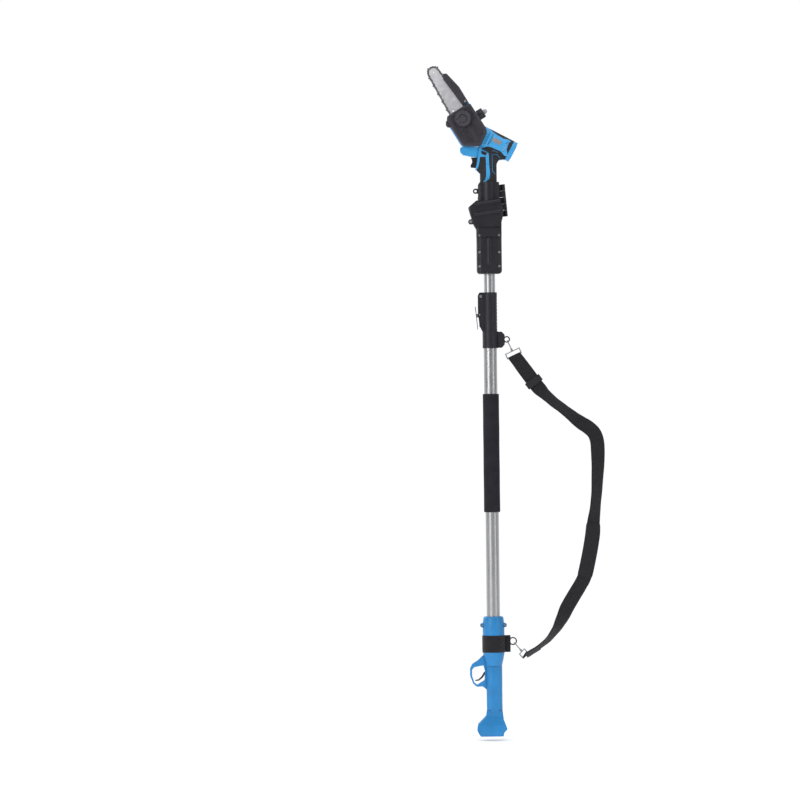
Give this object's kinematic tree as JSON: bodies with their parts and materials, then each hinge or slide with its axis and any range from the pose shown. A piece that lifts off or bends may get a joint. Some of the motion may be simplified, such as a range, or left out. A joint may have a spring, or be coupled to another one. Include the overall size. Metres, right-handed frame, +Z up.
{
  "type": "telescoping pole saw",
  "caption": "Long-reach pruning chainsaw on a two-part telescopic pole with a cam clamp, foam grip, trigger handle and clip-on carrying strap.",
  "frame": {"origin": "on the pole's axis at the bottom face of the lower handle", "axes": "+Z up the pole towards the saw head; +X the side of the carrying strap and of the motor, as the picture's right; -Y the side of the saw's sprocket cover, which faces the viewer"},
  "size_m": [0.4955, 0.0868, 1.9098],
  "materials": {
    "black_plastic": "satin, fine moulded grain",
    "sky_plastic": "satin sky blue",
    "deep_plastic": "satin mid blue",
    "tube_metal": "drawn, lightly brushed",
    "bar_metal": "ground and brushed",
    "chain_metal": "oiled steel",
    "screw_metal": "zinc plated",
    "hook_metal": "bright plated wire",
    "dark_steel": "motor can and gears",
    "foam": "closed-cell foam",
    "soft_rubber": "ribbed soft rubber",
    "webbing": "woven polyester webbing",
    "cable": "coiled cable jacket",
    "knob_plastic": "dark grey, fine grain",
    "grey_plastic": "translucent grey tank",
    "clear_soft": "clear soft dome"
  },
  "bodies": {
    "outer": {"outer_tube": "tube_metal", "tube_guide_bush": "black_plastic", "handle_shell_front": "deep_plastic", "handle_shell_rear": "deep_plastic", "handle_screws": "screw_metal", "battery_dock": "black_plastic", "handle_switch": "black_plastic", "foam_grip": "foam", "clamp_housing": "black_plastic", "clamp_jaw": "black_plastic", "clamp_pins": "screw_metal", "strap_eye": "black_plastic", "strap_band": "webbing", "upper_hook": "hook_metal", "lower_hook": "hook_metal", "strap_webbing": "webbing", "strap_slider": "black_plastic", "shoulder_pad": "webbing", "power_coil": "cable"},
    "inner": {"inner_tube": "tube_metal", "inner_tube_bush": "black_plastic", "terminal_block": "black_plastic", "adapter_rear_shell": "black_plastic", "adapter_front_shell": "black_plastic", "adapter_screws": "screw_metal", "adapter_hinge_pin": "screw_metal", "saw_shell_front": "sky_plastic", "saw_shell_rear": "sky_plastic", "saw_screws": "screw_metal", "soft_overmould": "soft_rubber", "motor": "dark_steel", "shaft_bearings": "dark_steel", "guide_bar": "bar_metal", "chain_drive_links": "chain_metal", "chain_tie_straps": "chain_metal", "chain_cutters": "chain_metal", "bar_stud": "screw_metal", "sprocket_cover": "black_plastic", "guard_pin": "screw_metal", "oil_tank": "grey_plastic", "rear_cap": "sky_plastic", "saw_switch": "black_plastic"},
    "lever": {"clamp_lever": "black_plastic", "lever_plate": "hook_metal"},
    "handle_trigger": {"handle_trigger": "black_plastic"},
    "upper_gate": {"upper_hook_gate": "hook_metal"},
    "lower_gate": {"lower_hook_gate": "hook_metal"},
    "door": {"adapter_door": "black_plastic", "door_screw": "screw_metal"},
    "sprocket": {"drive_sprocket": "dark_steel", "bevel_gear": "dark_steel"},
    "pinion": {"motor_pinion": "dark_steel"},
    "knob": {"cover_knob": "knob_plastic"},
    "wing": {"knob_wing": "knob_plastic"},
    "guard": {"chain_guard": "black_plastic"},
    "cap": {"oil_cap": "knob_plastic"},
    "bulb": {"primer_bulb": "clear_soft"},
    "saw_trigger": {"saw_trigger": "black_plastic"},
    "lock_off": {"lock_off_button": "black_plastic"}
  },
  "joints": [
    {"name": "pole_extend", "type": "slide", "parent": "outer", "child": "inner", "axis": [0, 0, 1], "range_m": [0, 0.6], "deforming": ["power_coil"]},
    {"name": "clamp_lever", "type": "hinge", "parent": "outer", "child": "lever", "pos_m": [-0.0259, 0, 1.253], "axis": [0, 1, 0], "range_deg": [0, 100]},
    {"name": "handle_trigger", "type": "hinge", "parent": "outer", "child": "handle_trigger", "pos_m": [-0.018, 0, 0.184], "axis": [0, -1, 0], "range_deg": [0, 10], "stiffness_Nm_per_rad": 0.6, "springref_deg": -9.74},
    {"name": "upper_gate", "type": "hinge", "parent": "outer", "child": "upper_gate", "pos_m": [0.05587, 0.0054, 1.1106], "axis": [0.9078, 0, 0.4195], "range_deg": [0, 20], "stiffness_Nm_per_rad": 0.05, "springref_deg": -17.19},
    {"name": "lower_gate", "type": "hinge", "parent": "outer", "child": "lower_gate", "pos_m": [0.06991, 0.0054, 0.25223], "axis": [0.766, 0, 0.6428], "range_deg": [0, 20], "stiffness_Nm_per_rad": 0.05, "springref_deg": -17.19},
    {"name": "adapter_door", "type": "hinge", "parent": "inner", "child": "door", "pos_m": [0.0495, 0, 1.48], "axis": [-0.0866, 0, 0.9962], "range_deg": [0, 100]},
    {"name": "sprocket_spin", "type": "hinge", "parent": "inner", "child": "sprocket", "pos_m": [-0.05364, 0, 1.72861], "axis": [0, 1, 0], "continuous": true},
    {"name": "pinion_spin", "type": "hinge", "parent": "inner", "child": "pinion", "pos_m": [-0.05364, 0, 1.72861], "axis": [0.8829, 0, -0.4695], "continuous": true},
    {"name": "cover_knob", "type": "hinge", "parent": "inner", "child": "knob", "pos_m": [-0.0714, 0, 1.7576], "axis": [0, 1, 0], "continuous": true},
    {"name": "knob_wing", "type": "hinge", "parent": "knob", "child": "wing", "pos_m": [-0.08675, -0.0496, 1.7482], "axis": [0.5225, 0, -0.8526], "range_deg": [0, 90]},
    {"name": "chain_guard", "type": "hinge", "parent": "inner", "child": "guard", "pos_m": [-0.06364, 0, 1.8081], "axis": [0, 1, 0], "range_deg": [0, 45], "stiffness_Nm_per_rad": 0.3, "springref_deg": -45.84},
    {"name": "oil_cap", "type": "hinge", "parent": "inner", "child": "cap", "pos_m": [-0.02146, 0.002, 1.77179], "axis": [0.8526, 0, 0.5225], "continuous": true},
    {"name": "primer_bulb", "type": "slide", "parent": "cap", "child": "bulb", "axis": [-0.8526, 0, -0.5225], "range_m": [0, 0.003], "stiffness_N_per_m": 500, "springref_m": -0.001},
    {"name": "saw_trigger", "type": "slide", "parent": "inner", "child": "saw_trigger", "axis": [1, 0, 0], "range_m": [0, 0.007], "stiffness_N_per_m": 600, "springref_m": -0.003},
    {"name": "lock_off", "type": "slide", "parent": "inner", "child": "lock_off", "axis": [0, 1, 0], "range_m": [0, 0.004], "stiffness_N_per_m": 500, "springref_m": -0.002}
  ],
  "couplings": [
    {"joint": "pinion_spin", "follows": "sprocket_spin", "ratio": 3.3333}
  ]
}
